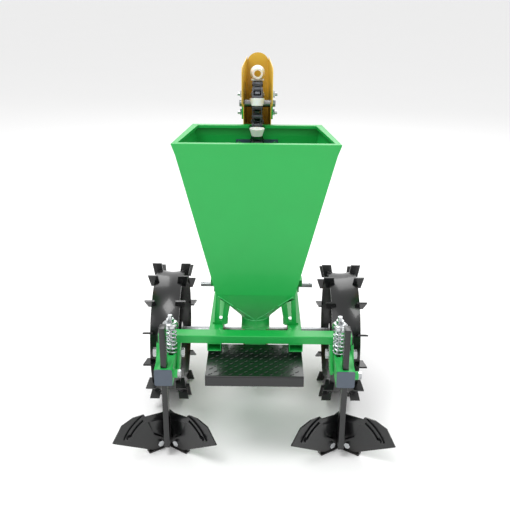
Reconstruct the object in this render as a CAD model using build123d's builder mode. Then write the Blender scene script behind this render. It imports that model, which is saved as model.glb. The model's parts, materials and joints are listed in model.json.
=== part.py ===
"""Single-row chain-and-cup seed planter for a compact tractor.

Frame: +X to the planter's right seen from behind, +Y the way it travels, +Z up.
The origin lies on the ground, under the middle of the machine's length and width,
behind the wheel axle. All sizes are in millimetres.
"""

from build123d import *
from math import cos, pi, radians, sin, tan
import os

os.makedirs("parts", exist_ok=True)

# ---------------------------------------------------------------- driving dimensions
gap = 0.3                      # clearance between neighbouring pieces
running = 0.06                 # radial clearance of a shaft in its bearing

# wheels, all on one axle
lug_count = 14                 # lug pairs round each rim
lug_tip_radius = 220.0
lug_width, lug_thickness, lug_height = 30.0, 5.0, 38.0
lug_overhang = 15.0            # how far a lug stands out beside the rim
lug_lean = 4.0                 # how far its tip leans outwards
rim_edge_radius = 199.0
rim_hollow = 9.0               # depth of the dished tread
rim_width = 85.0
rim_wall = 4.0
wheel_x = 271.0                # wheel centre plane from the middle
disc_thickness = 5.0
hub_radius = 27.0
hub_length = 64.0
axle_radius = 12.5
axle_y = 70.0
lug_angle = 360.0 / lug_count
axle_z = lug_tip_radius * cos(radians(lug_angle / 2)) + lug_thickness / 2 * sin(radians(lug_angle / 2))

# frame
tube_wall = 2.5
rail_width, rail_height = 40.0, 25.0
rail_x = 118.0
rail_bottom = 282.9
beam_depth, beam_height = 40.0, 25.0
beam_half = 279.0
beam_y = -160.0
cap_lip = 3.0
rail_top = rail_bottom + rail_height
beam_bottom = rail_top
beam_top = beam_bottom + beam_height
rail_rear = beam_y - beam_depth / 2
crossbar_y = 284.0
crossbar_half = 158.0
hitch_y = 326.0
hitch_z = 261.0
hitch_pin_radius = 8.0
hitch_half_span = 198.0
hitch_bar_radius = 9.0         # between the plates; its ends are turned down to the pins
hitch_plate_x = 146.0
hitch_plate = 8.0
hitch_eye = 18.0
mast_height = 350.0            # upper link hole above the lower pins
mast_gap = 44.0                # between the two mast bars
mast_bar = 8.0
mast_depth = 40.0
upper_link_radius = 8.0
brace_radius = 9.0

# arms and their springs
arm_size = 50.0
arm_wall = 3.0
arm_x = 250.0
arm_z = 270.0
arm_rear = -304.0
arm_pivot_y = -166.0
arm_front = arm_pivot_y + 14.0
pivot_radius = 8.0
ear_thickness = 8.0
ear_side_gap = 1.0
stud_radius = 6.0
stud_y = -206.0
stud_inset = 12.0              # stud's distance inwards of the arm's middle
spring_wire = 5.0
spring_radius = 15.0           # to the middle of the wire
spring_turns = 6.5
cap_radius = 22.0
cap_bottom = 379.4
cap_height = 13.0
stud_top = 412.4
stop_thickness = 6.0
arm_top = arm_z + arm_size / 2
arm_bottom = arm_z - arm_size / 2

# ridgers
standard_width, standard_depth = 16.0, 30.0
standard_y = -282.0
standard_top = 417.0
standard_bottom = 30.0
ridger_angle = 57.0            # each mouldboard from the line of travel
ridger_plate = 4.0
ridger_nose = 42.0             # nose ahead of the standard's middle
ridger_half = 57.0
ridger_shoulder = 104.0
ridger_peak = 128.0
share_thickness = 4.0
share_clear = 0.2
wing_root_along, wing_root_up = 34.0, 24.0
quadrant_radius = 112.0
quadrant_band = 22.0
wing_bolt_angle = 30.0         # of the clamp bolt round the wing's root, above level
wing_fold = 30.0               # degrees that a wing folds up
m10_radius, m10_head, m10_across = 5.0, 6.4, 17.0
m12_radius, m12_head, m12_across = 6.0, 9.0, 19.0
m16_head, m16_across = 10.0, 24.0

# hopper: half width and y of the rear and front walls at each level
sheet = 2.0
rim_z, band_height, fold_z = 897.0, 29.0, 426.0
rim_rear, rim_front = (218.0, -203.0), (183.0, 34.0)
band_rear, band_front = (209.0, -196.0), (176.0, 31.5)
fold_rear, fold_front = (115.0, -102.0), (103.0, 31.5)
rim_lip = 16.0
rim_return = 6.0
neck_top, neck_bottom = 318.0, 290.0
neck_radius, neck_wall = 43.0, 3.0
quarter_facets = 6             # flats in each quarter of the cone's lower edge

# cup chain
pitch = 25.4
teeth = 14
straight_pitches = 29
links_per_cup = 3
roller_radius = 7.9
link_height = 18.0
link_plate = 2.5
chain_inner_width = 17.0
link_gap = 0.2
pin_radius = 4.0
sprocket_thickness = 14.0
sprocket_hub = 20.0
cup_radius, cup_base_radius = 21.0, 15.0
cup_height = 20.0
cup_wall = 2.5
cup_hole = 9.5
cup_offset = 29.0              # cup's middle outside the chain's pitch line
head_shaft_radius = 10.0
pitch_radius = pitch / (2 * sin(pi / teeth))
head_z = axle_z + straight_pitches * pitch
neck_y = axle_y - pitch_radius - 22.0
chain_half_width = chain_inner_width / 2 + 2 * link_plate + 2 * link_gap + 1.2

# chain guard
guard_half = 33.0
guard_sheet = 2.0
guard_web_y = 190.0            # outer face of the front web
guard_top = 1079.0
guard_bottom = 150.0
guard_throat_y = rim_front[1] + gap
hood_bottom, hood_top = 959.0, 1066.0
hood_rear_y = -36.0
hood_flare = 2.4               # degrees that each cheek opens towards the rear
boot_radius = 112.0            # seed boot round the lower sprocket
hood_corner = 14.0

# footboard
board_half = 135.0
board_rear, board_front = -315.0, -138.0
board_sheet = 3.0
board_lip = 31.0
board_foot = 38.0
board_bend = 5.0

# furrow opener
shank_width, shank_depth = 16.0, 40.0
shank_y = 236.0
shank_top, shank_bottom = 430.0, 30.0
opener_half, opener_length, opener_height = 36.0, 118.0, 150.0
opener_plate = 4.0
opener_base = 2.0
socket_wall = 9.0
socket_height = 62.0


def save(part, label):
    """Label a finished piece and write it as its own file."""
    part.label = label
    export_step(part, f"parts/{label}.step")


def block(xs, ys, zs, mode=Mode.ADD):
    """A box between two limits along each axis, in the part being built."""
    with Locations(((xs[0] + xs[1]) / 2, (ys[0] + ys[1]) / 2, (zs[0] + zs[1]) / 2)):
        Box(xs[1] - xs[0], ys[1] - ys[0], zs[1] - zs[0], mode=mode)


def prism(plane, points, amount, both=False, mode=Mode.ADD):
    """A straight prism on a polygon, in the part being built."""
    with BuildSketch(plane) as profile:
        with BuildLine():
            Polyline(*points, close=True)
        make_face()
    extrude(profile.sketch, amount=amount, both=both, mode=mode)


def rod(plane, radius, length, mode=Mode.ADD):
    """A round bar that starts on the plane and follows its normal."""
    with BuildSketch(plane) as profile:
        Circle(radius)
    extrude(profile.sketch, amount=length, mode=mode)


def hexagon(plane, across, height):
    """A bolt head or a nut that stands on the plane."""
    with BuildSketch(plane) as profile:
        RegularPolygon(across / 2, 6, major_radius=False)
    extrude(profile.sketch, amount=height)


def across_x(x, y, z, way=1):
    """A plane at a point, facing along X."""
    return Plane(origin=(x, y, z), x_dir=(0, 1, 0), z_dir=(way, 0, 0))


# ---------------------------------------------------------------- frame
rear_ys = (beam_y - beam_depth / 2, beam_y + beam_depth / 2)
with BuildPart() as rear_beam:
    block((-beam_half, beam_half), rear_ys, (beam_bottom, beam_top))
    fillet(rear_beam.edges().filter_by(Axis.X), 2.5)
    block((-beam_half, beam_half), (rear_ys[0] + tube_wall, rear_ys[1] - tube_wall),
          (beam_bottom + tube_wall, beam_top - tube_wall), mode=Mode.SUBTRACT)
save(rear_beam.part, "rear_beam")

with BuildPart() as beam_end_caps:
    for side in (-1, 1):
        block(sorted((side * beam_half, side * (beam_half + cap_lip))), rear_ys, (beam_bottom, beam_top))
        block(sorted((side * beam_half, side * (beam_half - 10))),
              (rear_ys[0] + tube_wall + gap, rear_ys[1] - tube_wall - gap),
              (beam_bottom + tube_wall + gap, beam_top - tube_wall - gap))
save(beam_end_caps.part, "beam_end_caps")

crossbar_ys = (crossbar_y - beam_depth / 2, crossbar_y + beam_depth / 2)
with BuildPart() as frame_rails:
    for side in (-1, 1):
        xs = (side * rail_x - rail_width / 2, side * rail_x + rail_width / 2)
        block(xs, (rail_rear, crossbar_ys[0]), (rail_bottom, rail_top))
        block((xs[0] + tube_wall, xs[1] - tube_wall), (rail_rear, crossbar_ys[0]),
              (rail_bottom + tube_wall, rail_top - tube_wall), mode=Mode.SUBTRACT)
save(frame_rails.part, "frame_rails")

with BuildPart() as front_crossbar:
    block((-crossbar_half, crossbar_half), crossbar_ys, (rail_bottom, rail_top))
    fillet(front_crossbar.edges().filter_by(Axis.X), 2.5)
    block((-crossbar_half, crossbar_half), (crossbar_ys[0] + tube_wall, crossbar_ys[1] - tube_wall),
          (rail_bottom + tube_wall, rail_top - tube_wall), mode=Mode.SUBTRACT)
save(front_crossbar.part, "front_crossbar")

# ---------------------------------------------------------------- hitch
with BuildPart() as lower_hitch_plates:
    for side in (-1, 1):
        face = across_x(side * hitch_plate_x - hitch_plate / 2, 0, 0)
        prism(face, [(crossbar_ys[1], rail_top), (crossbar_ys[1], hitch_z - hitch_eye),
                     (hitch_y, hitch_z - hitch_eye), (hitch_y, rail_top)], hitch_plate)
        rod(across_x(side * hitch_plate_x - hitch_plate / 2, hitch_y, hitch_z), hitch_eye, hitch_plate)
        rod(across_x(side * hitch_plate_x - hitch_plate / 2, hitch_y, hitch_z),
            hitch_bar_radius + 0.1, hitch_plate, mode=Mode.SUBTRACT)
save(lower_hitch_plates.part, "lower_hitch_plates")

with BuildPart() as lower_hitch_bar:
    rod(across_x(-hitch_half_span, hitch_y, hitch_z), hitch_pin_radius, 2 * hitch_half_span)
    chamfer(lower_hitch_bar.edges().filter_by(GeomType.CIRCLE), 1.5)
    shoulder = hitch_plate_x + hitch_plate / 2
    rod(across_x(-shoulder, hitch_y, hitch_z), hitch_bar_radius, 2 * shoulder)
    for side in (-1, 1):
        rod(Plane(origin=(side * (hitch_half_span - 9), hitch_y, hitch_z - 20)), 2.5, 40, mode=Mode.SUBTRACT)
save(lower_hitch_bar.part, "lower_hitch_bar")

upper_link_z = hitch_z + mast_height
mast_ys = (crossbar_ys[1], crossbar_ys[1] + mast_depth)
mast_eye_y = sum(mast_ys) / 2
with BuildPart() as hitch_mast:
    for side in (-1, 1):
        start = min(side * mast_gap / 2, side * (mast_gap / 2 + mast_bar))
        block((start, start + mast_bar), mast_ys, (rail_bottom, upper_link_z))
        rod(across_x(start, mast_eye_y, upper_link_z), mast_depth / 2, mast_bar)
        rod(across_x(start, mast_eye_y, upper_link_z), upper_link_radius, mast_bar, mode=Mode.SUBTRACT)
    block((-mast_gap / 2, mast_gap / 2), (mast_ys[0], mast_ys[0] + 8), (rail_top + 60, rail_top + 110))
save(hitch_mast.part, "hitch_mast")

with BuildPart() as mast_braces:
    for side in (-1, 1):
        foot = Vector(side * rail_x, 170, rail_top - 12)
        top = Vector(side * (mast_gap / 2), mast_eye_y - 4, upper_link_z - 60)
        run = top - foot
        rod(Plane(origin=foot, z_dir=run), brace_radius, run.length)
    block((-300, 300), (0, 400), (rail_bottom - 60, rail_top), mode=Mode.SUBTRACT)
    block((-mast_gap / 2 - mast_bar, mast_gap / 2 + mast_bar), (200, 400), (rail_bottom, 900),
          mode=Mode.SUBTRACT)
save(mast_braces.part, "mast_braces")

# ---------------------------------------------------------------- axle and wheels
with BuildPart() as axle_bearings:
    for side in (-1, 1):
        x0 = side * rail_x - 17
        block((x0, x0 + 34), (axle_y - 55, axle_y + 55), (rail_bottom - 12, rail_bottom))
        rod(across_x(x0, axle_y, axle_z), 30, 34)
        block((x0, x0 + 34), (axle_y - 24, axle_y + 24), (axle_z, rail_bottom - 12))
        rod(across_x(x0, axle_y, axle_z), axle_radius + running, 34, mode=Mode.SUBTRACT)
save(axle_bearings.part, "axle_bearings")

with BuildPart() as bearing_bolts:
    for side in (-1, 1):
        for along in (-42, 42):
            at = (side * rail_x, axle_y + along)
            hexagon(Plane(origin=(*at, rail_bottom - 12), z_dir=(0, 0, -1)), m10_across, m10_head)
save(bearing_bolts.part, "bearing_bolts")

axle_half = wheel_x + hub_length / 2 + 4
with BuildPart() as wheel_axle:
    rod(across_x(-axle_half, axle_y, axle_z), axle_radius, 2 * axle_half)
    chamfer(wheel_axle.edges().filter_by(GeomType.CIRCLE), 1.5)
save(wheel_axle.part, "wheel_axle")

dish_radius = ((rim_width / 2) ** 2 + rim_hollow ** 2) / (2 * rim_hollow)


def wheel_rim(side):
    """A dished steel band turned about the axle, its middle nearer the axle than its edges."""
    centre = rim_edge_radius - rim_hollow
    with BuildPart() as rim:
        with BuildSketch(Plane(origin=(side * wheel_x, axle_y, axle_z), x_dir=(1, 0, 0), z_dir=(0, -1, 0))):
            with BuildLine():
                top = ThreePointArc((-rim_width / 2, rim_edge_radius), (0, centre), (rim_width / 2, rim_edge_radius))
                low = ThreePointArc((-rim_width / 2, rim_edge_radius - rim_wall), (0, centre - rim_wall),
                                    (rim_width / 2, rim_edge_radius - rim_wall))
                Line(top @ 0, low @ 0)
                Line(top @ 1, low @ 1)
            make_face()
        revolve(axis=Axis((0, axle_y, axle_z), (1, 0, 0)))
    return rim.part


for name, side in (("left", -1), ("right", 1)):
    save(wheel_rim(side), f"{name}_wheel_rim")

with BuildPart() as wheel_discs:
    for side in (-1, 1):
        start = across_x(side * wheel_x - disc_thickness / 2, axle_y, axle_z)
        rod(start, rim_edge_radius - rim_hollow - rim_wall - 0.1, disc_thickness)
        rod(start, hub_radius, disc_thickness, mode=Mode.SUBTRACT)
save(wheel_discs.part, "wheel_discs")

with BuildPart() as wheel_hubs:
    for side in (-1, 1):
        start = across_x(side * wheel_x - hub_length / 2, axle_y, axle_z)
        rod(start, hub_radius, hub_length)
        rod(start, axle_radius, hub_length, mode=Mode.SUBTRACT)
save(wheel_hubs.part, "wheel_hubs")

# each lug straddles a rim edge: part over the tread, part overhanging beside it
lug_foot = lug_tip_radius - lug_height
lug_inset = lug_width - lug_overhang
tread_at_inset = rim_edge_radius - rim_hollow * (1 - (1 - 2 * lug_inset / rim_width) ** 2) + gap


def spoke_plane(x, turn):
    """A plane through the axle's line, its X outwards along the axle and its Y along a radius."""
    out = Vector(0, cos(radians(turn)), sin(radians(turn)))
    return Plane(origin=(x, axle_y, axle_z), x_dir=(1, 0, 0), z_dir=Vector(1, 0, 0).cross(out))


lug_turns = [90 + lug_angle * (i + 0.5) for i in range(lug_count)]
with BuildPart() as wheel_lugs:
    for side in (-1, 1):
        for edge in (-1, 1):
            rim_edge_x = side * wheel_x + edge * rim_width / 2
            for turn in lug_turns:
                lug = [(-lug_inset, tread_at_inset), (lug_lean - lug_inset, lug_tip_radius),
                       (lug_lean + lug_overhang, lug_tip_radius), (lug_overhang - lug_lean, lug_foot),
                       (gap, lug_foot), (gap, rim_edge_radius + gap)]
                prism(spoke_plane(rim_edge_x, turn), [(edge * u, v) for u, v in lug], lug_thickness / 2, both=True)
save(wheel_lugs.part, "wheel_lugs")


def sprocket(centre_z, phase, bore):
    """A toothed wheel for the cup chain, with a hub on both sides."""
    origin = (0, axle_y, centre_z)
    tip = pitch * (0.45 + 1 / tan(pi / teeth)) / 2
    with BuildPart() as wheel:
        with BuildSketch(Plane(origin=origin, x_dir=(0, 1, 0), z_dir=(1, 0, 0))):
            Circle(tip)
            with PolarLocations(pitch_radius, teeth, start_angle=phase):
                Circle(roller_radius + 0.15, mode=Mode.SUBTRACT)
            with PolarLocations(pitch_radius + 6.5, teeth, start_angle=phase):
                Circle(roller_radius + 2.6, mode=Mode.SUBTRACT)
        extrude(amount=sprocket_thickness / 2, both=True)
        with BuildSketch(Plane(origin=origin, x_dir=(0, 1, 0), z_dir=(1, 0, 0))):
            Circle(sprocket_hub)
        extrude(amount=chain_half_width, both=True)
        with BuildSketch(Plane(origin=origin, x_dir=(0, 1, 0), z_dir=(1, 0, 0))):
            Circle(bore)
        extrude(amount=chain_half_width, both=True, mode=Mode.SUBTRACT)
    return wheel.part


save(sprocket(axle_z, 180, axle_radius), "drive_sprocket")
save(sprocket(head_z, 180, head_shaft_radius), "head_sprocket")

# ---------------------------------------------------------------- cup chain
def chain_points():
    """The chain's pin centres as (y, z), up the rear run, over the top and down the front."""
    rise = [(-pitch_radius, axle_z + i * pitch) for i in range(straight_pitches + 1)]
    arc = [radians(i * 360 / teeth) for i in range(1, teeth // 2)]
    over = [(-pitch_radius * cos(a), head_z + pitch_radius * sin(a)) for a in arc]
    under = [(pitch_radius * cos(a), axle_z - pitch_radius * sin(a)) for a in arc]
    return rise + over + [(-y, z) for y, z in reversed(rise)] + under


def link(inner):
    """One chain link along +X from its first pin centre, pins along Z."""
    near = chain_inner_width / 2 if inner else chain_inner_width / 2 + link_plate + link_gap
    with BuildPart() as piece:
        for side in (-1, 1):
            with BuildSketch(Plane.XY.offset(side * near)):
                with Locations((pitch / 2, 0)):
                    SlotCenterToCenter(pitch, link_height)
            extrude(amount=side * link_plate)
        for x in (0, pitch):
            if inner:
                rod(Plane(origin=(x, 0, -near)), roller_radius - 0.4, 2 * near)
                rod(Plane(origin=(x, 0, -2 * near)), pin_radius + link_gap, 4 * near, mode=Mode.SUBTRACT)
            else:
                rod(Plane(origin=(x, 0, -chain_half_width)), pin_radius, 2 * chain_half_width)
    return piece.part


def seed_cup():
    """A seed cup at the middle of a link, its mouth towards +X, standing off along +Y."""
    with BuildPart() as cup:
        middle = Plane(origin=(pitch / 2 - cup_height / 2, cup_offset, 0), x_dir=(0, 0, 1), z_dir=(1, 0, 0))
        with BuildSketch(middle):
            Circle(cup_base_radius)
        with BuildSketch(middle.offset(cup_height)):
            Circle(cup_radius)
        loft()
        with BuildSketch(middle.offset(cup_wall)):
            Circle(cup_base_radius - cup_wall)
        with BuildSketch(middle.offset(cup_height)):
            Circle(cup_radius - cup_wall)
        loft(mode=Mode.SUBTRACT)
        rod(middle, cup_hole, cup_wall, mode=Mode.SUBTRACT)
        block((pitch / 2 - 5, pitch / 2 + 9), (link_height / 2 + gap, cup_offset - cup_radius + cup_wall + 2),
              (-cup_base_radius - 3, cup_base_radius + 3))
        rod(middle.offset(cup_wall), cup_base_radius - cup_wall, cup_height, mode=Mode.SUBTRACT)
    return cup.part


pins = [(y + axle_y, z) for y, z in chain_points()]
outer_link, inner_link, cup_shape = link(False), link(True), seed_cup()
links, cups = [], []
for i, (y, z) in enumerate(pins):
    ahead = pins[(i + 1) % len(pins)]
    run = Vector(0, ahead[0] - y, ahead[1] - z)
    seat = Plane(origin=(0, y, z), x_dir=run, z_dir=(1, 0, 0)).location
    links.append(seat * (inner_link if i % 2 else outer_link))
    if i % links_per_cup == 2:
        cups.append(seat * cup_shape)
save(Compound(children=links), "cup_chain")
save(Compound(children=cups), "seed_cups")

with BuildPart() as head_shaft:
    head_half = guard_half + (guard_web_y - axle_y) * tan(radians(hood_flare)) + 14
    rod(across_x(-head_half, axle_y, head_z), head_shaft_radius, 2 * head_half)
    chamfer(head_shaft.edges().filter_by(GeomType.CIRCLE), 1.5)
save(head_shaft.part, "head_shaft")


# ---------------------------------------------------------------- hopper
def outline(rear, front, inset):
    """The hopper's four corners at one level, pulled in by the sheet where asked."""
    corners = [(rear[0], rear[1]), (front[0], front[1])]
    half = [(corners[0][0] - inset, corners[0][1] + inset), (corners[1][0] - inset, corners[1][1] - inset)]
    return [(-half[0][0], half[0][1]), half[0], half[1], (-half[1][0], half[1][1])]


def tapered(low, high, z_low, z_high, mode=Mode.ADD):
    """A four-sided taper between two outlines, in the part being built."""
    levels = []
    for points, z in ((low, z_low), (high, z_high)):
        with BuildSketch(Plane.XY.offset(z)) as level:
            with BuildLine():
                Polyline(*points, close=True)
            make_face()
        levels.append(level.sketch)
    loft(sections=levels, ruled=True, mode=mode)


def square_to_round(corners, radius):
    """The folded piece below the hopper: flats to the neck's quarter points, facets round its corners."""
    ring = [Vector(radius * cos(a), neck_y + radius * sin(a), neck_top)
            for a in (radians(-135 + 90 * k + 90 / quarter_facets * (j - quarter_facets / 2))
                      for k in range(4) for j in range(quarter_facets))]
    tops = [Vector(x, y, fold_z) for x, y in corners]
    count = len(ring)
    faces = [Face(Wire.make_polygon(tops)), Face(Wire.make_polygon(ring))]
    for k in range(4):
        for j in range(quarter_facets):
            here = k * quarter_facets + j
            faces.append(Face(Wire.make_polygon([tops[k], ring[here], ring[(here + 1) % count]])))
        meet = (k + 1) * quarter_facets % count
        faces.append(Face(Wire.make_polygon([tops[k], ring[meet], tops[(k + 1) % 4]])))
    return Solid(Shell(faces))


def hopper_body(inset):
    """The hopper's outside, or its inside when pulled in by the sheet."""
    fold = outline(fold_rear, fold_front, inset)
    band = outline(band_rear, band_front, inset)
    rim = outline(rim_rear, rim_front, inset)
    with BuildPart() as body:
        tapered(fold, band, fold_z, rim_z - band_height)
        tapered(band, rim, rim_z - band_height, rim_z)
        add(square_to_round(fold, neck_radius - inset))
    return body.part


hopper_outside = hopper_body(0)
with BuildPart() as hopper_shell:
    add(hopper_outside)
    add(hopper_body(sheet), mode=Mode.SUBTRACT)
save(hopper_shell.part, "hopper_shell")

with BuildPart() as hopper_rim:
    outer, inner = outline(rim_rear, rim_front, 0), outline(rim_rear, rim_front, rim_lip)
    with BuildSketch(Plane.XY.offset(rim_z)):
        with BuildLine():
            Polyline(*outer, close=True)
        make_face()
        with BuildLine():
            Polyline(*inner, close=True)
        make_face(mode=Mode.SUBTRACT)
    extrude(amount=sheet)
    with BuildSketch(Plane.XY.offset(rim_z - rim_return)):
        with BuildLine():
            Polyline(*outline(rim_rear, rim_front, rim_lip - sheet), close=True)
        make_face()
        with BuildLine():
            Polyline(*inner, close=True)
        make_face(mode=Mode.SUBTRACT)
    extrude(amount=rim_return)
    # a notch for the chain, which rises close to the front wall
    block((-chain_half_width - 7, chain_half_width + 7), (0, rim_front[1] - 8), (rim_z - rim_return, rim_z + sheet),
          mode=Mode.SUBTRACT)
save(hopper_rim.part, "hopper_rim")

# the neck, and below it a boot that holds seed for the cups to pick up
boot_half = guard_half - 1
neck_front = neck_y + neck_radius
with BuildPart() as hopper_neck:
    rod(across_x(-boot_half, axle_y, axle_z), boot_radius, 2 * boot_half)
    block((-neck_radius, neck_radius), (axle_y, axle_y + boot_radius), (0, rim_z), mode=Mode.SUBTRACT)
    block((-neck_radius, neck_radius), (axle_y - boot_radius, axle_y), (axle_z, rim_z), mode=Mode.SUBTRACT)
    block((-boot_half, boot_half), (axle_y - boot_radius, neck_front), (axle_z, neck_bottom - 3))
    block((-boot_half + 3, boot_half - 3), (axle_y - boot_radius + 3, axle_y), (axle_z - 1, neck_bottom - 3),
          mode=Mode.SUBTRACT)
    rod(across_x(3 - boot_half, axle_y, axle_z), boot_radius - 3, 2 * (boot_half - 3), mode=Mode.SUBTRACT)
    rod(across_x(-boot_half, axle_y, axle_z), sprocket_hub + 2, 2 * boot_half, mode=Mode.SUBTRACT)
    block((-neck_radius, neck_radius), (neck_y - neck_radius, neck_front), (neck_bottom - 3, neck_bottom))
    rod(Plane(origin=(0, neck_y, neck_bottom)), neck_radius, neck_top - neck_bottom)
    rod(Plane(origin=(0, neck_y, neck_bottom - 3)), neck_radius - neck_wall, neck_top - neck_bottom + 3,
        mode=Mode.SUBTRACT)
save(hopper_neck.part, "hopper_neck")

bracket_y = -58.0
bracket_sheet = 5.0
with BuildPart() as hopper_brackets:
    for side in (-1, 1):
        plane = Plane(origin=(0, bracket_y, 0), x_dir=(1, 0, 0), z_dir=(0, -1, 0))
        prism(plane, [(side * x, z) for x, z in ((88, rail_top), (125, rail_top), (119, fold_z - 30),
                                                 (118, fold_z), (96, fold_z), (74, fold_z - 40))], bracket_sheet)
        prism(plane, [(side * x, z) for x, z in ((101, rail_top + 14), (109, rail_top + 14), (106, fold_z - 34),
                                                 (92, fold_z - 34))], bracket_sheet, mode=Mode.SUBTRACT)
        block(sorted((side * 84, side * 130)), (bracket_y, bracket_y + 34), (rail_top, rail_top + 5))
    add(hopper_outside, mode=Mode.SUBTRACT)
save(hopper_brackets.part, "hopper_brackets")

wall_y = fold_front[1]         # outer face of the hopper's upright front wall
strap_top, strap_height, strap_half, strap_sheet = 857.0, 21.0, 60.0, 3.0
strap_y = wall_y - sheet - strap_sheet
strap_bolts = (51.0,)
with BuildPart() as guide_strap:
    block((-strap_half, strap_half), (strap_y, wall_y - sheet), (strap_top - strap_height, strap_top))
save(guide_strap.part, "guide_strap")

guide_reach = chain_half_width + 2
with BuildPart() as chain_guide:
    for side in (-1, 1):
        block(sorted((side * guide_reach, side * (guide_reach + 3))),
              (strap_y - 20, strap_y), (strap_top - strap_height, strap_top))
        prism(Plane(origin=(0, strap_y, 0), x_dir=(1, 0, 0), z_dir=(0, -1, 0)),
              [(side * x, z) for x, z in ((guide_reach, strap_top), (guide_reach + 3, strap_top),
                                          (5, strap_top + 34), (0, strap_top + 34), (0, strap_top + 29))], 3)
save(chain_guide.part, "chain_guide")

with BuildPart() as hopper_bolts:
    for side in (-1, 1):
        for x in strap_bolts:
            hexagon(Plane(origin=(side * x, strap_y, strap_top - strap_height / 2), z_dir=(0, -1, 0)), 13.0, 5.3)
        hexagon(Plane(origin=(side * 108, bracket_y + 20, rail_top + 5)), m10_across, m10_head)
save(hopper_bolts.part, "hopper_bolts")

# ---------------------------------------------------------------- chain guard and head bearings
flare = tan(radians(hood_flare))


def cheek(side, ys, zs, inner, outer, mode=Mode.ADD):
    """A layer of a guard cheek, between two distances outside the cheek's outer face."""
    reach = [guard_half + (guard_web_y - y) * flare for y in ys]
    points = [(reach[0] + inner, ys[0]), (reach[0] + outer, ys[0]), (reach[1] + outer, ys[1]), (reach[1] + inner, ys[1])]
    prism(Plane.XY.offset(zs[0]), [(side * x, y) for x, y in points], zs[1] - zs[0], mode=mode)


with BuildPart() as elevator_guard:
    web = Plane(origin=(0, guard_web_y, 0), x_dir=(1, 0, 0), z_dir=(0, -1, 0))
    with BuildSketch(web) as front:
        with Locations((0, (guard_bottom + guard_top - guard_half) / 2)):
            Rectangle(2 * guard_half, guard_top - guard_half - guard_bottom)
        with Locations((0, guard_top - guard_half)):
            Circle(guard_half)
    extrude(front.sketch, amount=guard_sheet)
    for side in (-1, 1):
        cheek(side, (guard_throat_y, guard_web_y), (guard_bottom, hood_bottom), -guard_sheet, 0)
        cheek(side, (hood_rear_y, guard_web_y), (hood_bottom, hood_top), -guard_sheet, 0)
        block(sorted((side * 37.5, side * 56)), (wall_y, guard_throat_y + 0.1), (fold_z + 14, rim_z - band_height - 8))
    rod(across_x(-2 * guard_half, axle_y, axle_z), sprocket_hub + 2, 4 * guard_half, mode=Mode.SUBTRACT)
    for side in (-1, 1):
        rod(across_x(0, axle_y, head_z, side), head_shaft_radius + 3, 2 * guard_half, mode=Mode.SUBTRACT)
    rear_edges = elevator_guard.edges().filter_by(Axis.X, tolerance=5).filter_by_position(
        Axis.Y, hood_rear_y - 0.2, hood_rear_y + 0.2)
    fillet(rear_edges, hood_corner)
save(elevator_guard.part, "elevator_guard")

with BuildPart() as tension_plates:
    for side in (-1, 1):
        cheek(side, (axle_y - 26, axle_y + 26), (head_z - 40, head_z + 40), 0, 5)
        rod(across_x(0, axle_y, head_z, side), head_shaft_radius + running, 2 * guard_half, mode=Mode.SUBTRACT)
save(tension_plates.part, "tension_plates")

with BuildPart() as guard_bolts:
    for side in (-1, 1):
        out = Vector(side * cos(radians(hood_flare)), sin(radians(hood_flare)), 0)
        reach = guard_half + (guard_web_y - axle_y) * flare + 5
        for up in (-26, 26):
            face = Vector(side * reach, axle_y, head_z + up)
            hexagon(Plane(origin=face, x_dir=(0, 0, 1), z_dir=out), m10_across, m10_head)
            rod(Plane(origin=face, x_dir=(0, 0, 1), z_dir=out), m10_radius, m10_head + 7)
        for z in (fold_z + 60, rim_z - band_height - 60):
            hexagon(Plane(origin=(side * 48, guard_throat_y + 0.1, z), z_dir=(0, 1, 0)), 13.0, 5.3)
save(guard_bolts.part, "guard_bolts")

# ---------------------------------------------------------------- footboard
with BuildPart() as footboard:
    top = rail_bottom
    outline_yz = [(board_rear, top - board_lip), (board_rear, top), (board_front, top),
                  (board_front, top - board_sheet), (board_rear + board_sheet, top - board_sheet),
                  (board_rear + board_sheet, top - board_lip)]
    prism(across_x(-board_half, 0, 0), outline_yz, 2 * board_half)
    fillet(footboard.edges().filter_by(Axis.X).filter_by_position(Axis.Z, top - 0.1, top + 0.1)
           .sort_by(Axis.Y)[0], board_bend)
    for side in (-1, 1):
        block(sorted((side * board_half, side * (board_half - board_sheet))), (board_rear + 12, board_rear + 60),
              (top - board_foot, top - board_sheet))
save(footboard.part, "footboard")

with BuildPart() as footboard_bolts:
    for side in (-1, 1):
        for x in (-12, 12):
            hexagon(Plane(origin=(side * rail_x + x, beam_y + 8, rail_bottom - board_sheet), z_dir=(0, 0, -1)),
                    13.0, 5.3)
save(footboard_bolts.part, "footboard_bolts")

# ---------------------------------------------------------------- arm pivots, studs and springs
ear = [(beam_y - 21, beam_bottom), (beam_y + 19, beam_bottom), (arm_pivot_y + 14, arm_z - 8),
       (beam_y - 20, arm_bottom - 13), (stud_y - 14, arm_bottom - 13), (stud_y - 14, arm_bottom + 1)]
ear_face = arm_size / 2 + ear_side_gap
with BuildPart() as pivot_ears:
    for side in (-1, 1):
        for way in (-1, 1):
            x = side * arm_x + way * ear_face
            prism(across_x(min(x, x + way * ear_thickness), 0, 0), ear, ear_thickness)
            rod(across_x(x, arm_pivot_y, arm_z, way), pivot_radius, ear_thickness, mode=Mode.SUBTRACT)
save(pivot_ears.part, "pivot_ears")

ear_outside = ear_face + ear_thickness
with BuildPart() as pivot_bolts:
    for side in (-1, 1):
        inner_end = side * (arm_x - ear_outside)
        rod(across_x(inner_end, arm_pivot_y, arm_z, side), pivot_radius, 2 * ear_outside)
        hexagon(across_x(inner_end, arm_pivot_y, arm_z, -side), m16_across, m16_head)
        hexagon(across_x(side * (arm_x + ear_outside), arm_pivot_y, arm_z, side), m16_across, m16_head + 3)
save(pivot_bolts.part, "pivot_bolts")

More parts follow.
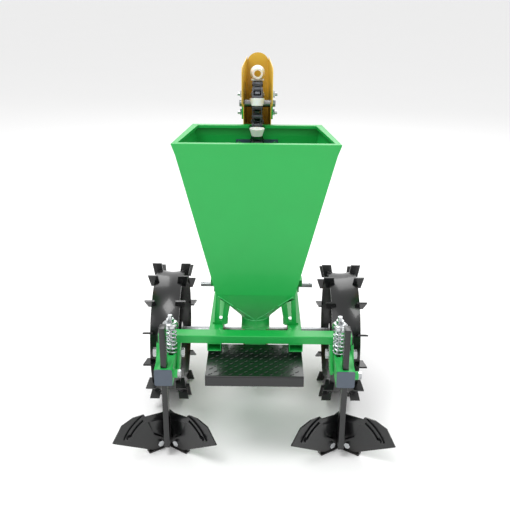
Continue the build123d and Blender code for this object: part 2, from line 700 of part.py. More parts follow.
stop_top = arm_bottom - gap
with BuildPart() as stop_plates:
    for side in (-1, 1):
        block((side * arm_x - ear_face, side * arm_x + ear_face), (stud_y - 14, stud_y + 14),
              (stop_top - stop_thickness, stop_top))
        rod(Plane(origin=(side * (arm_x - stud_inset), stud_y, stop_top - stop_thickness)), stud_radius,
            stop_thickness, mode=Mode.SUBTRACT)
save(stop_plates.part, "stop_plates")

with BuildPart() as spring_studs:
    for side in (-1, 1):
        x = side * (arm_x - stud_inset)
        base = stop_top - stop_thickness
        rod(Plane(origin=(x, stud_y, base)), stud_radius, stud_top - base)
        hexagon(Plane(origin=(x, stud_y, base), z_dir=(0, 0, -1)), m12_across, m12_head)
        hexagon(Plane(origin=(x, stud_y, cap_bottom + cap_height)), m12_across, m12_head)
save(spring_studs.part, "spring_studs")

with BuildPart() as spring_caps:
    for side in (-1, 1):
        base = Plane(origin=(side * (arm_x - stud_inset), stud_y, cap_bottom))
        rod(base, cap_radius, cap_height)
    fillet(spring_caps.edges().group_by(Axis.Z)[-1], cap_height - 4)
    for side in (-1, 1):
        base = Plane(origin=(side * (arm_x - stud_inset), stud_y, cap_bottom))
        rod(base, stud_radius, cap_height, mode=Mode.SUBTRACT)
save(spring_caps.part, "spring_caps")

for name, side in (("left", -1), ("right", 1)):
    low, high = arm_top + spring_wire / 2 + gap, cap_bottom - spring_wire / 2 - gap
    with BuildPart() as spring:
        with BuildLine() as coil:
            Helix((high - low) / spring_turns, high - low, spring_radius,
                  center=(side * (arm_x - stud_inset), stud_y, low))
        with BuildSketch(Plane(origin=coil.line @ 0, z_dir=coil.line % 0)):
            Circle(spring_wire / 2)
        sweep(is_frenet=True)
    save(spring.part, f"{name}_spring")


# ---------------------------------------------------------------- arms and the standards they carry
def arm(side):
    """A square tube from its pivot under the beam back to the standard's socket."""
    x = side * arm_x
    xs, zs = (x - arm_size / 2, x + arm_size / 2), (arm_bottom, arm_top)
    with BuildPart() as tube:
        block(xs, (arm_rear, arm_front), zs)
        block((xs[0] + arm_wall, xs[1] - arm_wall), (arm_rear, arm_front), (zs[0] + arm_wall, zs[1] - arm_wall),
              mode=Mode.SUBTRACT)
        rod(across_x(xs[0], arm_pivot_y, arm_z), pivot_radius + running, arm_size, mode=Mode.SUBTRACT)
        stud_x = side * (arm_x - stud_inset)
        block((stud_x - 7, stud_x + 7), (stud_y - 20, stud_y + 13), (zs[0], zs[1]), mode=Mode.SUBTRACT)
        slide_half = (standard_width / 2 + gap, standard_depth / 2 + gap)
        for z in (arm_bottom, arm_top - arm_wall):
            block((x - slide_half[0], x + slide_half[0]), (standard_y - slide_half[1], standard_y + slide_half[1]),
                  (z, z + arm_wall), mode=Mode.SUBTRACT)
        # the standard's guide inside the tube, and the boss for its clamp bolt
        for way in (-1, 1):
            block(sorted((x + way * slide_half[0], x + way * (arm_size / 2 - arm_wall))),
                  (standard_y - 12, standard_y + 12), (arm_z - 12, arm_z + 12))
        rod(across_x(x + arm_size / 2, standard_y, arm_z), 12, 12)
        rod(across_x(x + slide_half[0], standard_y, arm_z), m12_radius, arm_size, mode=Mode.SUBTRACT)
    return tube.part


for name, side in (("left", -1), ("right", 1)):
    save(arm(side), f"{name}_arm")
    x = side * arm_x
    with BuildPart() as cap:
        block((x - arm_size / 2, x + arm_size / 2), (arm_rear - cap_lip, arm_rear), (arm_bottom, arm_top))
        fillet(cap.edges().filter_by(Axis.Y), 5)
        plug = arm_size / 2 - arm_wall - gap
        block((x - plug, x + plug), (arm_rear, arm_rear + 5), (arm_z - plug, arm_z + plug))
    save(cap.part, f"{name}_arm_cap")
    with BuildPart() as clamp:
        start = x + standard_width / 2 + gap
        rod(across_x(start, standard_y, arm_z), m12_radius, x + arm_size / 2 + 16 - start)
        hexagon(across_x(x + arm_size / 2 + 12, standard_y, arm_z), m12_across, m12_head)
    save(clamp.part, f"{name}_clamp_bolt")
    with BuildPart() as standard:
        block((x - standard_width / 2, x + standard_width / 2),
              (standard_y - standard_depth / 2, standard_y + standard_depth / 2), (standard_bottom, standard_top))
    save(standard.part, f"{name}_standard")

# ---------------------------------------------------------------- ridgers
nose_y = standard_y + ridger_nose
along = (sin(radians(ridger_angle)), -cos(radians(ridger_angle)))
body_length = ridger_half / along[0]
wing_layer = ridger_plate + gap
quadrant_layer = 2 * (ridger_plate + gap)
root = (wing_root_along, wing_root_up)
bolt_at = (root[0] + quadrant_radius * cos(radians(wing_bolt_angle)),
           root[1] + quadrant_radius * sin(radians(wing_bolt_angle)))
slot_half = 4.6


def mouldboard(x, side, depth=0.0):
    """The face of one mouldboard: X back along it from the nose, the normal towards the standard."""
    plane = Plane(origin=(x, nose_y, 0), x_dir=(side * along[0], along[1], 0),
                  z_dir=(side * along[1], -along[0], 0))
    return plane.offset(depth)


def plate(x, side, depth, points, thickness, mode=Mode.ADD):
    """A flat plate parallel to a mouldboard, drawn as lengths along it and heights."""
    prism(mouldboard(x, side, depth), [(u, side * v) for u, v in points], thickness, mode=mode)


def pin(x, side, depth, at, radius, length, mode=Mode.ADD):
    """A round pin square to a mouldboard."""
    face = mouldboard(x, side, depth)
    rod(Plane(origin=face.from_local_coords((at[0], side * at[1], 0)), z_dir=face.z_dir), radius, length, mode=mode)


def nut(x, side, depth, at, across, height, back=True):
    """A hexagon on either face of a plate that lies along a mouldboard."""
    face = mouldboard(x, side, depth)
    hexagon(Plane(origin=face.from_local_coords((at[0], side * at[1], 0)),
                  z_dir=face.z_dir if back else -face.z_dir), across, height)


def arc_points(radius, start, stop, count=14):
    """Points round the wing's root between two angles."""
    turns = [radians(start + (stop - start) * i / count) for i in range(count + 1)]
    return [(root[0] + radius * cos(t), root[1] + radius * sin(t)) for t in turns]


share_top = 1.0 + share_thickness
band = (quadrant_radius - quadrant_band / 2, quadrant_radius + quadrant_band / 2)
slot = (quadrant_radius - slot_half, quadrant_radius + slot_half)
arc = (wing_bolt_angle - 5, wing_bolt_angle + wing_fold + 8)
slot_arc = (wing_bolt_angle - 2.6, wing_bolt_angle + wing_fold + 2.6)
for name, place in (("left", -1), ("right", 1)):
    x = place * arm_x
    standard_block = (x - standard_width / 2, x + standard_width / 2)
    with BuildPart() as body:
        for side in (-1, 1):
            plate(x, side, 0, [(0, share_top), (body_length, share_top), (body_length, ridger_shoulder),
                               (0, ridger_peak)], ridger_plate)
        block((x - 6, x + 6), (standard_y + standard_depth / 2, nose_y - 2), (share_top + 25, ridger_peak - 30))
        for side in (-1, 1):
            pin(x, side, 0, root, m10_radius, ridger_plate, mode=Mode.SUBTRACT)
    with BuildPart() as share:
        blade = [(0, nose_y + 16), (ridger_half + 6, nose_y - 32), (ridger_half - 4, nose_y - 48), (0, nose_y - 12)]
        prism(Plane.XY.offset(1.0), [(x + u, v) for u, v in blade] +
              [(x - u, v) for u, v in reversed(blade)][1:-1], share_thickness - share_clear)
    quadrants = []
    for side in (-1, 1):
        with BuildPart() as quadrant:
            plate(x, side, quadrant_layer, arc_points(band[0], *arc) + arc_points(band[1], *reversed(arc)),
                  ridger_plate)
            plate(x, side, quadrant_layer, [(12, 100), (12, 126), (root[0] + 50, root[1] + 108), (root[0] + 40, root[1] + 88)],
                  ridger_plate)
            plate(x, side, quadrant_layer, arc_points(slot[0], *slot_arc) + arc_points(slot[1], *reversed(slot_arc)),
                  ridger_plate, mode=Mode.SUBTRACT)
            block((standard_block[0] - 40 * (side > 0), standard_block[1] + 40 * (side < 0)),
                  (standard_y - standard_depth, nose_y), (0, standard_top), mode=Mode.SUBTRACT)
        quadrants.append(quadrant.part)
    save(Compound(children=[body.part, share.part] + quadrants), f"{name}_ridger_body")

    with BuildPart() as bolts:
        for side in (-1, 1):
            pin(x, side, 0, root, m10_radius, quadrant_layer)
            nut(x, side, 0, root, m10_across, m10_head, back=False)
            nut(x, side, quadrant_layer, root, m10_across, m10_head)
    save(bolts.part, f"{name}_ridger_bolts")

    for side in (-1, 1):
        where = "outer" if side == place else "inner"
        profile = [(18, 17), (24, 9), (38, share_top + 1), (56, share_top + 1), (178, 76), (148, 124), (112, 138),
                   (80, 137), (52, 60), (22, 36)]
        with BuildPart() as wing:
            plate(x, side, wing_layer, profile, ridger_plate)
            pin(x, side, wing_layer, root, m10_radius + running, ridger_plate, mode=Mode.SUBTRACT)
            nut(x, side, wing_layer, bolt_at, 13.0, 5.3, back=False)
            pin(x, side, wing_layer, bolt_at, 4.0, 2 * ridger_plate + 1.4)
            nut(x, side, quadrant_layer + ridger_plate + gap, bolt_at, 13.0, 6.5)
        save(wing.part, f"{name}_{where}_wing")

# ---------------------------------------------------------------- furrow opener
shank_ys = (shank_y - shank_depth / 2, shank_y + shank_depth / 2)
with BuildPart() as opener_shank:
    block((-shank_width / 2, shank_width / 2), shank_ys, (shank_bottom, shank_top))
save(opener_shank.part, "opener_shank")

with BuildPart() as opener_socket:
    xs = (-shank_width / 2 - gap, shank_width / 2 + gap)
    ys = (shank_ys[0] - gap, shank_ys[1] + gap)
    middle = (rail_bottom + rail_top) / 2
    block((xs[0] - socket_wall, xs[1] + socket_wall), (ys[0] - socket_wall, crossbar_ys[0]),
          (middle - socket_height / 2, middle + socket_height / 2))
    block(xs, ys, (middle - socket_height / 2, middle + socket_height / 2), mode=Mode.SUBTRACT)
    rod(Plane(origin=(0, ys[0] - socket_wall, middle), z_dir=(0, -1, 0)), m12_radius, 8)
    hexagon(Plane(origin=(0, ys[0] - socket_wall - 6, middle), z_dir=(0, -1, 0)), m12_across, m12_head)
save(opener_socket.part, "opener_socket")

opener_nose = shank_ys[1] + 60
with BuildPart() as furrow_opener:
    for side in (-1, 1):
        rear = opener_nose - opener_length
        prism(Plane.XY.offset(opener_base), [(0, opener_nose), (side * opener_half, rear),
                                             (side * (opener_half - opener_plate), rear),
                                             (0, opener_nose - opener_plate * opener_length / opener_half)],
              opener_height)
    web_half = opener_half * 0.46
    block((-web_half, web_half), (shank_ys[1], shank_ys[1] + 6), (opener_base + 20, opener_height - 10))
save(furrow_opener.part, "furrow_opener")
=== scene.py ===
import json
import math

import bpy
import bmesh
from mathutils import Matrix, Vector


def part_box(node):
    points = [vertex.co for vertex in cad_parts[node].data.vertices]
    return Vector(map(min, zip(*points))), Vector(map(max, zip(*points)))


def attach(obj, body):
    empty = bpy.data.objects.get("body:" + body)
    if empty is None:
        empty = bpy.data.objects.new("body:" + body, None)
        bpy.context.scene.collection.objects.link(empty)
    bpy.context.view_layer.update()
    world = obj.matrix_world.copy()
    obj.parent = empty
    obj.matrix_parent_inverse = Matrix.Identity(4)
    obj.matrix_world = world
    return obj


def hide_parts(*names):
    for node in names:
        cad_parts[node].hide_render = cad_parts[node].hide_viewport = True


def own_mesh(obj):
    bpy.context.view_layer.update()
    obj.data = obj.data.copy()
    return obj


bl_info = {
    "name": "Chain-and-cup planter",
    "version": (1, 0, 0),
    "blender": (4, 5, 0),
    "location": "View3D > Sidebar > Planter",
    "description": "Finishes and detail for a single-row chain-and-cup planter",
    "category": "Object",
}

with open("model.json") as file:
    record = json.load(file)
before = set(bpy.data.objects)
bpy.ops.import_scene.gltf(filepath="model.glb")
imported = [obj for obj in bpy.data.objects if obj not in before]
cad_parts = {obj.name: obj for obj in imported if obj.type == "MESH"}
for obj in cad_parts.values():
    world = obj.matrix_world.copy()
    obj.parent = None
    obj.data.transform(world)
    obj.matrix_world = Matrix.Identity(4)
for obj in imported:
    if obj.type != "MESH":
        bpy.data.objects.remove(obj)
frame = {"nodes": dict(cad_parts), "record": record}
RECORD = frame["record"]
NODES = frame["nodes"]
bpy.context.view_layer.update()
MM = 0.001
COIL_TURNS = 6.5
NECK_RADIUS = 43 * MM                       # of the hopper's neck, as in the CAD
FOLD_CORNER = (115 * MM, -102 * MM, 426 * MM)  # the hopper's rear corner at its fold, as in the CAD
SEAM_RUNS = ((0.04, 0.42), (0.52, 0.97))    # parts of the cone's seam that carry a bead
FOCAL_PIXELS, FRAME_PIXELS, SENSOR = 720, 510, 36
CAMERA_AT = (0.0135, -1.998, 1.341)
CAMERA_TURN = (0.48, 90 - 22.56, 0.4)       # degrees: pan, tilt and roll
LIGHTS = (("key", (-1.2, -1.0, 3.6), 1.6, 62), ("fill", (2.4, -1.8, 2.2), 2.2, 16),
          ("back", (0.4, 2.6, 2.8), 2.4, 45))


# ------------------------------------------------------------------ sizes and colours
def colour(default, name, about):
    """A colour property whose default is an sRGB hex value."""
    return bpy.props.FloatVectorProperty(name=name, description=about, subtype="COLOR", size=3, min=0, max=1,
                                         default=linear(default))


def length(default, name, about):
    """A length property in metres, given in millimetres."""
    return bpy.props.FloatProperty(name=name, description=about, default=default * MM, unit="LENGTH", precision=4)


def linear(hexa):
    """An sRGB hex colour as linear red, green and blue."""
    out = []
    for i in (0, 2, 4):
        c = int(hexa[i:i + 2], 16) / 255
        out.append(c / 12.92 if c <= 0.04045 else ((c + 0.055) / 1.055) ** 2.4)
    return tuple(out)


class PLANTER_PG_finishes(bpy.types.PropertyGroup):
    """Colours a user would change."""
    green: colour("17AA49", "Green enamel", "Hopper, frame and arms")
    yellow: colour("DDB53A", "Yellow enamel", "Chain guard")
    black: colour("0B0C0E", "Black enamel", "Wheels, ridgers and footboard")
    cup: colour("EEF2EE", "Cup plastic", "Seed cups")
    zinc: colour("C9CCCE", "Zinc plate", "Bolts, studs and springs")
    floor: colour("FFFFFF", "Floor", "The plain floor")


class PLANTER_PG_sizes(bpy.types.PropertyGroup):
    """Sizes of the repeated detail."""
    tread_across: length(28, "Tread spacing", "Between tread bars along the board")
    tread_back: length(14, "Tread row spacing", "Between rows of tread bars")
    tread_length: length(15, "Tread bar length", "Length of one raised bar")
    tread_height: length(1.6, "Tread bar height", "Height of one raised bar")
    wire: length(5, "Spring wire", "Diameter of the spring's wire")
    weld: length(5, "Weld bead", "Width of a weld bead")


def sizes():
    return bpy.context.scene.planter_sizes


def finishes():
    return bpy.context.scene.planter_finishes


# ------------------------------------------------------------------ materials
def add(tree, kind, links=None, **settings):
    """A shader or geometry node with its settings, its socket values and the sockets that feed it."""
    node = tree.nodes.new(kind)
    for key, value in settings.items():
        if hasattr(node, key):
            setattr(node, key, value)
        else:
            raise ValueError(f"{kind} has no {key}")
    for key, value in (links or {}).items():
        socket = node.inputs[key]
        if isinstance(value, bpy.types.NodeSocket):
            tree.links.new(value, socket)
        else:
            socket.default_value = value
    return node


def shade(rgb, amount):
    """A colour made lighter or darker, with its alpha."""
    return tuple(min(1, c * amount) for c in rgb) + (1,)


def surface(name, base, rough, metallic=0.0, patch_mm=120, coat=0.0, bump=0.0, bump_mm=3,
            spread=0.12, rough_spread=0.06, stretch=(1, 1, 1), dust=None, **fixed):
    """A procedural finish: slow colour drift, fine relief and varied gloss, all in object coordinates."""
    mat = bpy.data.materials.new(name)
    mat.use_nodes = True
    tree = mat.node_tree
    tree.nodes.clear()
    where = add(tree, "ShaderNodeTexCoord").outputs["Object"]
    place = add(tree, "ShaderNodeMapping", {"Vector": where, "Scale": stretch}).outputs["Vector"]
    patch = add(tree, "ShaderNodeTexNoise", {"Vector": where, "Scale": 1000 / patch_mm, "Detail": 3.0,
                                             "Roughness": 0.55}).outputs["Fac"]
    fine = add(tree, "ShaderNodeTexNoise", {"Vector": place, "Scale": 1000 / bump_mm, "Detail": 2.0,
                                            "Roughness": 0.5}).outputs["Fac"]
    drift = add(tree, "ShaderNodeMix", {"Factor": patch, 6: shade(base, 1 - spread), 7: shade(base, 1 + spread)},
                data_type="RGBA").outputs[2]
    if dust:
        level, tint = dust
        axes = add(tree, "ShaderNodeSeparateXYZ", {"Vector": where}).outputs["Z"]
        low = add(tree, "ShaderNodeMapRange", {"Value": axes, "From Min": 0.0, "From Max": level * MM,
                                               "To Min": 0.65, "To Max": 0.0}).outputs["Result"]
        soil = add(tree, "ShaderNodeMath", {0: low, 1: patch}, operation="MULTIPLY").outputs[0]
        drift = add(tree, "ShaderNodeMix", {"Factor": soil, 6: drift, 7: tint + (1,)}, data_type="RGBA").outputs[2]
    gloss = add(tree, "ShaderNodeMapRange", {"Value": patch, "To Min": max(0.02, rough - rough_spread),
                                             "To Max": rough + rough_spread}).outputs["Result"]
    relief = add(tree, "ShaderNodeBump", {"Height": fine, "Strength": bump, "Distance": 0.0006}).outputs["Normal"]
    shader = add(tree, "ShaderNodeBsdfPrincipled", {"Base Color": drift, "Roughness": gloss, "Metallic": metallic,
                                                    "Coat Weight": coat, "Normal": relief, **fixed})
    add(tree, "ShaderNodeOutputMaterial", {"Surface": shader.outputs["BSDF"]})
    return mat


def make_finishes():
    """Every finish on the planter, by its slot's name."""
    f = finishes()
    green, yellow, black, cup, zinc = (tuple(v) for v in (f.green, f.yellow, f.black, f.cup, f.zinc))
    made = {
        # two-pack enamel sprayed on sheet steel: glossy, with a slight orange peel that softens reflections
        "green_paint": surface("Green sprayed enamel", green, 0.42, coat=0.12, bump=0.12, bump_mm=4, spread=0.07,
                               **{"Coat Roughness": 0.08, "IOR": 1.5}),
        "yellow_paint": surface("Yellow sprayed enamel", yellow, 0.40, coat=0.15, bump=0.1, bump_mm=4, spread=0.06,
                                **{"Coat Roughness": 0.1, "IOR": 1.5}),
        # black enamel: near-black body whose look is all reflection
        "black_paint": surface("Black gloss enamel", black, 0.30, coat=0.3, bump=0.18, bump_mm=5, spread=0.25,
                               dust=(60, linear("2E2A26")), **{"Coat Roughness": 0.06, "IOR": 1.5}),
        # moulded polyethylene plugs: dull, slightly grained
        "black_plastic": surface("Black polyethylene", linear("1B1C1E"), 0.5, bump=0.3, bump_mm=1.5),
        "slate_plastic": surface("Slate polyethylene", linear("4B5562"), 0.42, bump=0.25, bump_mm=1.5, spread=0.08),
        # bright zinc plate on turned and rolled steel: pale metal, faint bluish mottling
        "zinc_fasteners": surface("Bright zinc plate", zinc, 0.26, metallic=1.0, bump=0.12, bump_mm=2, patch_mm=12),
        "spring_steel": surface("Zinc-plated spring wire", linear("C3C8CC"), 0.24, metallic=1.0, bump=0.1, bump_mm=2,
                                patch_mm=15),
        # cold-drawn bar: fine scratches along its length
        "bare_steel": surface("Cold-drawn steel bar", linear("9EA1A3"), 0.32, metallic=1.0, bump=0.25, bump_mm=2,
                              stretch=(0.08, 1, 1), patch_mm=60),
        # oiled roller chain: dark rolled steel with bright worn edges
        "chain_steel": surface("Oiled chain steel", linear("5A5C60"), 0.33, metallic=1.0, bump=0.2, bump_mm=2,
                               patch_mm=14, spread=0.35),
        # injection-moulded polypropylene: translucent white with a waxy gloss
        "cup_plastic": surface("White polypropylene", cup, 0.35, bump=0.05, bump_mm=2, spread=0.03,
                               **{"Subsurface Weight": 0.15, "Subsurface Scale": 0.004, "IOR": 1.49}),
        # strip steel heated blue and lightly oiled
        "blued_strap": surface("Blued strip steel", linear("46586F"), 0.36, metallic=0.5, bump=0.15, bump_mm=2),
        # arc weld laid over and painted in the green enamel; its lighter green is a painted highlight on the rounded
        # bead
        "weld": surface("Weld bead with painted highlight", linear("4FD07A"), 0.28, coat=0.4, bump=0.5, bump_mm=3, patch_mm=10),
    }
    return made


FINISH = {}


# ------------------------------------------------------------------ mesh helpers
def new_piece(name, mesh, body, slot, material=None, smooth=30):
    """A finished mesh object at the origin, riding on a body."""
    obj = bpy.data.objects.new(name, mesh)
    bpy.context.scene.collection.objects.link(obj)
    mesh.materials.clear()
    mesh.materials.append(FINISH[material or slot])
    for poly in mesh.polygons:
        poly.use_smooth = True
    if smooth:
        mesh.set_sharp_from_angle(angle=math.radians(smooth))
    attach(obj, body)
    return obj


def merged_copy(node, name, body, slot, bevel_mm=0.0, smooth=30):
    """A CAD node's shape as one welded mesh with its edges softened."""
    mesh = NODES[node].data.copy()
    mesh.name = name
    work = bmesh.new()
    work.from_mesh(mesh)
    bmesh.ops.remove_doubles(work, verts=work.verts, dist=1e-5)
    bmesh.ops.dissolve_limit(work, angle_limit=math.radians(1), verts=work.verts, edges=work.edges)
    work.to_mesh(mesh)
    work.free()
    obj = new_piece(name, mesh, body, slot, smooth=0 if bevel_mm else smooth)
    if bevel_mm:
        soft = obj.modifiers.new("Soft edges", "BEVEL")
        soft.width, soft.segments, soft.limit_method = bevel_mm * MM, 2, "ANGLE"
        soft.angle_limit = math.radians(40)
        soft.harden_normals = True
    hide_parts(node)
    return obj


def sweep_tube(work, points, radius, sides=8, closed=False):
    """A round tube along points, added to a bmesh."""
    count = len(points)
    rings = []
    normal = None
    for i, p in enumerate(points):
        ahead = points[(i + 1) % count] if closed or i + 1 < count else p
        back = points[i - 1] if closed or i else p
        run = (ahead - back).normalized()
        if normal is None:
            normal = run.orthogonal().normalized()
        normal = (normal - run * normal.dot(run)).normalized()
        across = run.cross(normal)
        rings.append([work.verts.new(p + (normal * math.cos(a) + across * math.sin(a)) * radius)
                      for a in (2 * math.pi * k / sides for k in range(sides))])
    for i in range(count if closed else count - 1):
        a, b = rings[i], rings[(i + 1) % count]
        for k in range(sides):
            work.faces.new((a[k], a[(k + 1) % sides], b[(k + 1) % sides], b[k]))
    if not closed:
        work.faces.new(list(reversed(rings[0])))
        work.faces.new(rings[-1])


def finish_mesh(work, name):
    """A bmesh made into a mesh with outward faces."""
    bmesh.ops.recalc_face_normals(work, faces=work.faces)
    mesh = bpy.data.meshes.new(name)
    work.to_mesh(mesh)
    work.free()
    return mesh


# ------------------------------------------------------------------ geometry nodes
def new_tree(name, inputs):
    """A geometry node group with a mesh in, a mesh out and named number inputs."""
    tree = bpy.data.node_groups.new(name, "GeometryNodeTree")
    tree.interface.new_socket("Geometry", in_out="INPUT", socket_type="NodeSocketGeometry")
    tree.interface.new_socket("Geometry", in_out="OUTPUT", socket_type="NodeSocketGeometry")
    for label, value in inputs.items():
        socket = tree.interface.new_socket(label, in_out="INPUT", socket_type="NodeSocketFloat")
        socket.default_value = value
    return tree, tree.nodes.new("NodeGroupInput").outputs, tree.nodes.new("NodeGroupOutput")


def close_tree(tree, out, geometry, material):
    """Realize what the tree made and give it its material."""
    real = add(tree, "GeometryNodeRealizeInstances", {"Geometry": geometry}).outputs[0]
    done = add(tree, "GeometryNodeSetMaterial", {"Geometry": real, "Material": FINISH[material]}).outputs[0]
    tree.links.new(done, out.inputs["Geometry"])


def bake(name, tree, values, body, slot, source=None, material=None, smooth=35):
    """Run a geometry node tree once and keep its result as a plain mesh."""
    holder = bpy.data.objects.new(name + "_maker", source or bpy.data.meshes.new(name + "_points"))
    bpy.context.scene.collection.objects.link(holder)
    modifier = holder.modifiers.new("Make", "NODES")
    modifier.node_group = tree
    for item in tree.interface.items_tree:
        if item.in_out == "INPUT" and item.name in values:
            modifier[item.identifier] = float(values[item.name])
    graph = bpy.context.evaluated_depsgraph_get()
    mesh = bpy.data.meshes.new_from_object(holder.evaluated_get(graph), depsgraph=graph)
    mesh.name = name
    bpy.data.objects.remove(holder)
    return new_piece(name, mesh, body, slot, material, smooth)


def seat_points(name, seats):
    """Bare points, each with the turn that its copy takes."""
    mesh = bpy.data.meshes.new(name)
    mesh.from_pydata([tuple(at) for at, _ in seats], [], [])
    turn = mesh.attributes.new("turn", "FLOAT_VECTOR", "POINT")
    for item, (_, rotation) in zip(turn.data, seats):
        item.vector = rotation
    return mesh


def copies_tree(name, original, material, inputs=None):
    """A tree that sets one mesh on each point, turned by the point's stored vector."""
    tree, given, out = new_tree(name, {"Scale": 1.0, **(inputs or {})})
    shape = add(tree, "GeometryNodeObjectInfo", {"Object": original}).outputs["Geometry"]
    turn = add(tree, "GeometryNodeInputNamedAttribute", {"Name": "turn"}, data_type="FLOAT_VECTOR").outputs[0]
    spin = add(tree, "FunctionNodeEulerToRotation", {"Euler": turn}).outputs[0]
    size = add(tree, "ShaderNodeCombineXYZ",
               {axis: given["Scale"] for axis in ("X", "Y", "Z")}).outputs[0]
    set_out = add(tree, "GeometryNodeInstanceOnPoints", {"Points": given["Geometry"], "Instance": shape,
                                                         "Rotation": spin, "Scale": size}).outputs[0]
    close_tree(tree, out, set_out, material)
    return tree


def repeat(name, original_mesh, seats, body, slot, material=None, smooth=35):
    """Copies of one small mesh on many seats, baked to a plain mesh."""
    original = bpy.data.objects.new(name + "_one", original_mesh)
    bpy.context.scene.collection.objects.link(original)
    tree = copies_tree(name + " copies", original, material or slot)
    obj = bake(name, tree, {"Scale": 1.0}, body, slot, seat_points(name + "_seats", seats), material, smooth)
    bpy.data.objects.remove(original)
    return obj


# ------------------------------------------------------------------ the pieces
class PLANTER_OT_finishes(bpy.types.Operator):
    """Make every finish and put it on the CAD pieces"""
    bl_idname = "planter.finishes"
    bl_label = "Finishes"

    def execute(self, context):
        FINISH.update(make_finishes())
        slots = {s["node"]: s["material_slot"] for s in RECORD["subparts"]}
        for name, obj in NODES.items():
            obj.data.materials.clear()
            obj.data.materials.append(FINISH[slots[name]])
        return {"FINISHED"}


class PLANTER_OT_soft_edges(bpy.types.Operator):
    """Give the tubes, plates and caps their rounded edges"""
    bl_idname = "planter.soft_edges"
    bl_label = "Rounded tubes and plates"

    def execute(self, context):
        slots = {s["node"]: s["material_slot"] for s in RECORD["subparts"]}
        body_of = {n: b for b, names in RECORD["behaviour"]["bodies"].items() for n in names}
        widths = {"frame_rails": 2.0, "left_arm": 2.5, "right_arm": 2.5, "pivot_ears": 1.0, "stop_plates": 0.8,
                  "left_standard": 1.2, "right_standard": 1.2, "hopper_brackets": 0.8, "hitch_mast": 1.0,
                  "left_ridger_body": 0.6, "right_ridger_body": 0.6, "tension_plates": 0.8, "furrow_opener": 0.6}
        for name, width in widths.items():
            merged_copy(name, name + "_finished", body_of[name], slots[name], bevel_mm=width)
        for name in ("hopper_neck", "elevator_guard", "left_wheel_rim", "right_wheel_rim",
                     "wheel_discs", "wheel_hubs", "left_arm_cap", "right_arm_cap", "spring_caps"):
            merged_copy(name, name + "_finished", body_of[name], slots[name], smooth=28)
        # a low angle keeps the fold between the hopper's walls and its cone crisp
        merged_copy("hopper_shell", "hopper_shell_finished", body_of["hopper_shell"],
                    slots["hopper_shell"], smooth=8)
        return {"FINISHED"}


class PLANTER_OT_tread(bpy.types.Operator):
    """Raised bars on the footboard's plate"""
    bl_idname = "planter.tread"
    bl_label = "Footboard tread"

    def execute(self, context):
        s = sizes()
        low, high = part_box("footboard")
        work = bmesh.new()
        half, wide, tall = s.tread_length / 2, s.tread_length / 7, s.tread_height
        steps = 10
        outline = [(half * math.cos(t), wide * math.sin(t))
                   for t in (2 * math.pi * k / steps for k in range(steps))]
        base = [work.verts.new((x, y, -0.0002)) for x, y in outline]
        crown = [work.verts.new((x * 0.72, y * 0.55, tall)) for x, y in outline]
        for k in range(steps):
            work.faces.new((base[k], base[(k + 1) % steps], crown[(k + 1) % steps], crown[k]))
        work.faces.new(crown)
        work.faces.new(list(reversed(base)))
        bar = finish_mesh(work, "tread_bar")
        seats = []
        rows = int((high.y - low.y - 0.016) / s.tread_back)
        for j in range(rows):
            y = low.y + 0.012 + j * s.tread_back
            shift = 0.5 * (j % 2)
            count = int((high.x - low.x - 0.02) / s.tread_across)
            for i in range(count + 1):
                x = low.x + 0.014 + (i + shift) * s.tread_across
                if x < high.x - 0.012:
                    seats.append(((x, y, high.z), (0, 0, math.radians(38))))
        repeat("footboard_tread", bar, seats, "frame", "black_paint", smooth=50)
        return {"FINISHED"}


class PLANTER_OT_springs(bpy.types.Operator):
    """Coil springs of round wire wound in an even spiral, their ends capped"""
    bl_idname = "planter.springs"
    bl_label = "Springs"

    def execute(self, context):
        wire = sizes().wire
        for side in ("left", "right"):
            low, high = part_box(side + "_spring")
            centre = (low + high) / 2
            radius = (high.x - low.x - wire) / 2
            tree, given, out = new_tree(side + " coil", {"Turns": COIL_TURNS, "Radius": radius, "Wire": wire / 2})
            tall = high.z - low.z - wire
            coil = add(tree, "GeometryNodeCurveSpiral", {"Resolution": 28, "Rotations": given["Turns"],
                       "Start Radius": given["Radius"], "End Radius": given["Radius"], "Height": tall}).outputs[0]
            ring = add(tree, "GeometryNodeCurvePrimitiveCircle", {"Resolution": 10, "Radius": given["Wire"]}).outputs[0]
            tube = add(tree, "GeometryNodeCurveToMesh", {"Curve": coil, "Profile Curve": ring,
                                                         "Fill Caps": True}).outputs[0]
            moved = add(tree, "GeometryNodeTransform",
                        {"Geometry": tube, "Translation": (centre.x, centre.y, low.z + wire / 2)}).outputs[0]
            close_tree(tree, out, moved, "spring_steel")
            obj = bake(side + "_coil", tree, {"Turns": COIL_TURNS, "Radius": radius, "Wire": wire / 2},
                       "frame", "spring_steel")
            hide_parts(side + "_spring")
            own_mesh(obj)
        return {"FINISHED"}


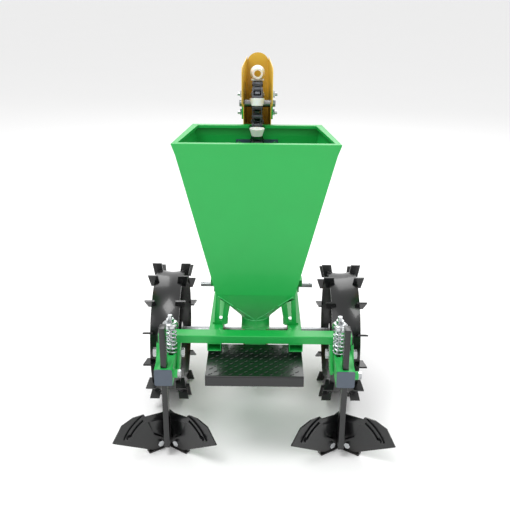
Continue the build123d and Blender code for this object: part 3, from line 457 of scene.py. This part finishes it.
class PLANTER_OT_welds(bpy.types.Operator):
    """Weld beads on the cone's rear seams and round the hopper's neck"""
    bl_idname = "planter.welds"
    bl_label = "Hopper welds"

    def execute(self, context):
        low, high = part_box("hopper_neck")
        neck = Vector((0, low.y + NECK_RADIUS, high.z))
        radius = sizes().weld / 2
        work = bmesh.new()
        steps = 48
        bead_radius, sink, ripple = NECK_RADIUS + 0.5 * MM, 1 * MM, 0.6 * MM
        ring = [Vector((bead_radius * math.cos(a), neck.y + bead_radius * math.sin(a),
                        high.z - sink + ripple * (k % 2)))
                for k, a in enumerate(2 * math.pi * i / steps for i in range(steps))]
        sweep_tube(work, ring, radius * 0.8, 6, closed=True)
        # the cone's rear plate: two seams from the fold's corners down to the neck
        seam_end = Vector((0, neck.y - NECK_RADIUS, high.z))
        for side in (-1, 1):
            corner = Vector((side * FOLD_CORNER[0], *FOLD_CORNER[1:]))
            for start, stop in SEAM_RUNS:
                steps = 14
                line = [corner.lerp(seam_end, start + (stop - start) * i / steps) for i in range(steps + 1)]
                sweep_tube(work, line, radius * 0.5, 6)
        mesh = finish_mesh(work, "hopper_weld_beads")
        # the beads take the lighter weld green, a painted highlight over the green enamel
        new_piece("hopper_weld_beads", mesh, "frame", "green_paint", "weld", smooth=60)
        return {"FINISHED"}


class PLANTER_OT_stage(bpy.types.Operator):
    """Floor, lights and camera"""
    bl_idname = "planter.stage"
    bl_label = "Floor, lights and camera"

    def execute(self, context):
        scene = context.scene
        work = bmesh.new()
        bmesh.ops.create_grid(work, x_segments=1, y_segments=1, size=30)
        mesh = bpy.data.meshes.new("floor")
        work.to_mesh(mesh)
        work.free()
        floor = bpy.data.objects.new("floor", mesh)
        scene.collection.objects.link(floor)
        # smooth matt floor: faint mottling only
        mesh.materials.append(surface("Pale studio floor", tuple(finishes().floor), 0.9, patch_mm=900, spread=0.01))
        scene.view_settings.view_transform = "Standard"
        world = bpy.data.worlds.new("Studio")
        scene.world = world
        world.use_nodes = True
        world.node_tree.nodes["Background"].inputs["Color"].default_value = (1, 1, 1, 1)
        world.node_tree.nodes["Background"].inputs["Strength"].default_value = 0.85
        for name, at, size, power in LIGHTS:
            light = bpy.data.lights.new(name, "AREA")
            light.energy, light.size = power, size
            lamp = bpy.data.objects.new(name, light)
            lamp.location = at
            lamp.rotation_euler = (Vector((0, 0, 0.5)) - Vector(at)).to_track_quat("-Z", "Y").to_euler()
            scene.collection.objects.link(lamp)
        camera = bpy.data.cameras.new("camera")
        camera.sensor_width, camera.lens = SENSOR, SENSOR * FOCAL_PIXELS / FRAME_PIXELS
        camera.clip_end = 60
        eye = bpy.data.objects.new("camera", camera)
        pan, tilt, roll = (math.radians(angle) for angle in CAMERA_TURN)
        eye.matrix_world = (Matrix.Translation(CAMERA_AT) @ Matrix.Rotation(pan, 4, "Z")
                            @ Matrix.Rotation(tilt, 4, "X") @ Matrix.Rotation(roll, 4, "Z"))
        scene.collection.objects.link(eye)
        scene.camera = eye
        return {"FINISHED"}


class PLANTER_PT_panel(bpy.types.Panel):
    """Lists the planter's pieces, sizes and colours"""
    bl_label = "Planter"
    bl_idname = "PLANTER_PT_panel"
    bl_space_type = "VIEW_3D"
    bl_region_type = "UI"
    bl_category = "Planter"

    def draw(self, context):
        for step in STEPS:
            self.layout.operator(step.bl_idname)
        for group in (context.scene.planter_sizes, context.scene.planter_finishes):
            for key in group.__annotations__:
                self.layout.prop(group, key)


STEPS = (PLANTER_OT_finishes, PLANTER_OT_soft_edges, PLANTER_OT_tread, PLANTER_OT_springs,
         PLANTER_OT_welds, PLANTER_OT_stage)
CLASSES = (PLANTER_PG_finishes, PLANTER_PG_sizes) + STEPS + (PLANTER_PT_panel,)


def register():
    for cls in CLASSES:
        bpy.utils.register_class(cls)
    bpy.types.Scene.planter_finishes = bpy.props.PointerProperty(type=PLANTER_PG_finishes)
    bpy.types.Scene.planter_sizes = bpy.props.PointerProperty(type=PLANTER_PG_sizes)


def unregister():
    del bpy.types.Scene.planter_finishes, bpy.types.Scene.planter_sizes
    for cls in reversed(CLASSES):
        bpy.utils.unregister_class(cls)


def main():
    register()
    for step in STEPS:
        group, name = step.bl_idname.split(".")
        getattr(getattr(bpy.ops, group), name)()


if __name__ == "__main__":
    main()
